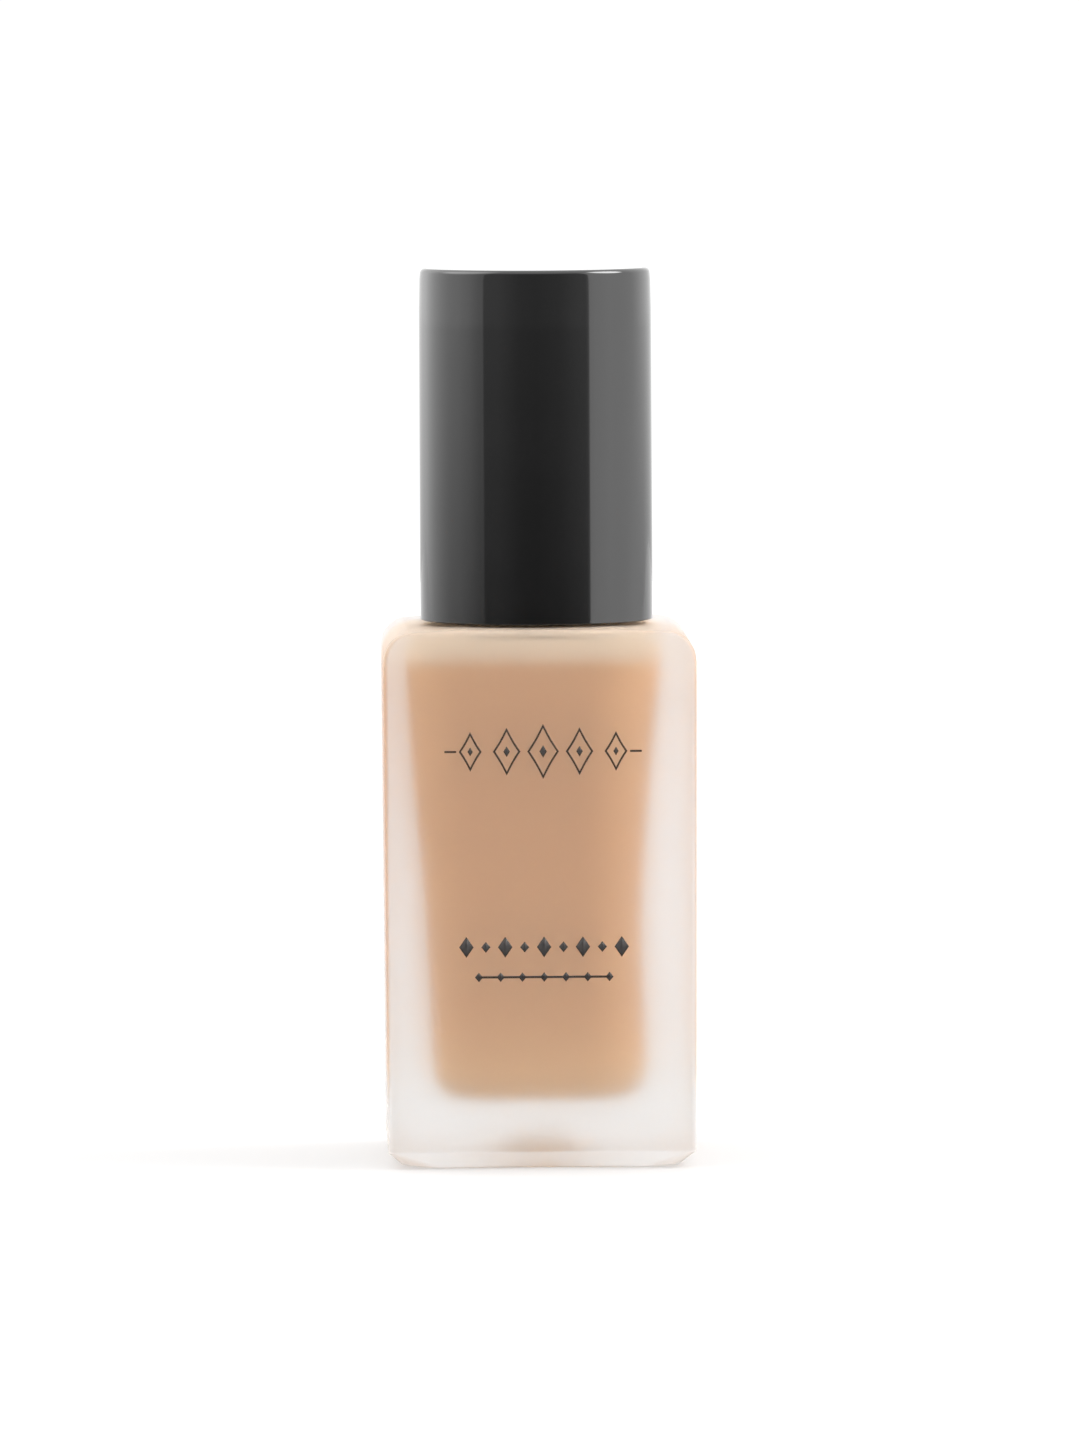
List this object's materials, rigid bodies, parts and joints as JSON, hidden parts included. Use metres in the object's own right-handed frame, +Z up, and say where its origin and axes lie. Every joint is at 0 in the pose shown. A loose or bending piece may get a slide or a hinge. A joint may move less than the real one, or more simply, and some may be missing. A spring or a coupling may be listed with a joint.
{
  "type": "foundation bottle",
  "caption": "Square frosted-glass foundation bottle with a round pull-off overcap over a screw-on treatment pump: turning press head, sprung stem, piston, check ball and dip tube.",
  "frame": {"origin": "centre of the square base, on the face the bottle stands on", "axes": "+Z up along the pump and cap axis; -Y is the printed front; +X to the right seen from the front"},
  "size_m": [0.0374, 0.037, 0.1072],
  "materials": {
    "frosted_glass": "acid-etched satin outside, clear inside",
    "foundation": "opaque tan cosmetic liquid, satin",
    "black_gloss": "high-gloss moulded black",
    "black_satin": "satin moulded black",
    "gasket_foam": "soft off-white liner foam",
    "natural_plastic": "natural milky moulded plastic",
    "piston_plastic": "soft milky plastic",
    "steel": "drawn and polished stainless steel",
    "clear_tube": "translucent extruded tube"
  },
  "bodies": {
    "bottle": {"glass_bottle": "frosted_glass", "foundation_fluid": "foundation"},
    "pump_body": {"pump_housing": "natural_plastic", "neck_gasket": "gasket_foam", "lock_ring": "natural_plastic", "spring_seat": "natural_plastic", "dip_tube": "clear_tube", "return_spring": "steel"},
    "closure": {"screw_closure": "black_satin", "collar_sleeve": "black_gloss"},
    "overcap": {"cap_outer_shell": "black_gloss", "cap_inner_liner": "black_satin"},
    "stem": {"stem": "natural_plastic", "stem_seat": "natural_plastic"},
    "piston": {"piston": "piston_plastic"},
    "inlet_valve": {"inlet_ball": "steel"},
    "head": {"actuator_core": "black_satin", "actuator_shell": "black_gloss", "nozzle_insert": "black_satin"}
  },
  "joints": [
    {"name": "pump_lift", "type": "slide", "parent": "bottle", "child": "pump_body", "axis": [0, 0, 1], "range_m": [0, 0.00634]},
    {"name": "closure_turn", "type": "hinge", "parent": "pump_body", "child": "closure", "pos_m": [0, 0, 0.075], "axis": [0, 0, 1], "range_deg": [0, 720]},
    {"name": "cap_pull", "type": "slide", "parent": "closure", "child": "overcap", "axis": [0, 0, 1], "range_m": [0, 0.045]},
    {"name": "stem_press", "type": "slide", "parent": "pump_body", "child": "stem", "axis": [0, 0, -1], "range_m": [0, 0.0045], "stiffness_N_per_m": 600, "deforming": ["return_spring"]},
    {"name": "piston_slide", "type": "slide", "parent": "pump_body", "child": "piston", "axis": [0, 0, -1], "range_m": [0, 0.0037]},
    {"name": "valve_lift", "type": "slide", "parent": "pump_body", "child": "inlet_valve", "axis": [0, 0, 1], "range_m": [0, 0.0012]},
    {"name": "head_turn", "type": "hinge", "parent": "stem", "child": "head", "pos_m": [0, 0, 0.0955], "axis": [0, 0, 1], "continuous": true}
  ],
  "couplings": [
    {"joint": "closure_turn", "follows": "pump_lift", "rad_per_m": 1979},
    {"joint": "piston_slide", "follows": "stem_press", "ratio": 0.82}
  ]
}
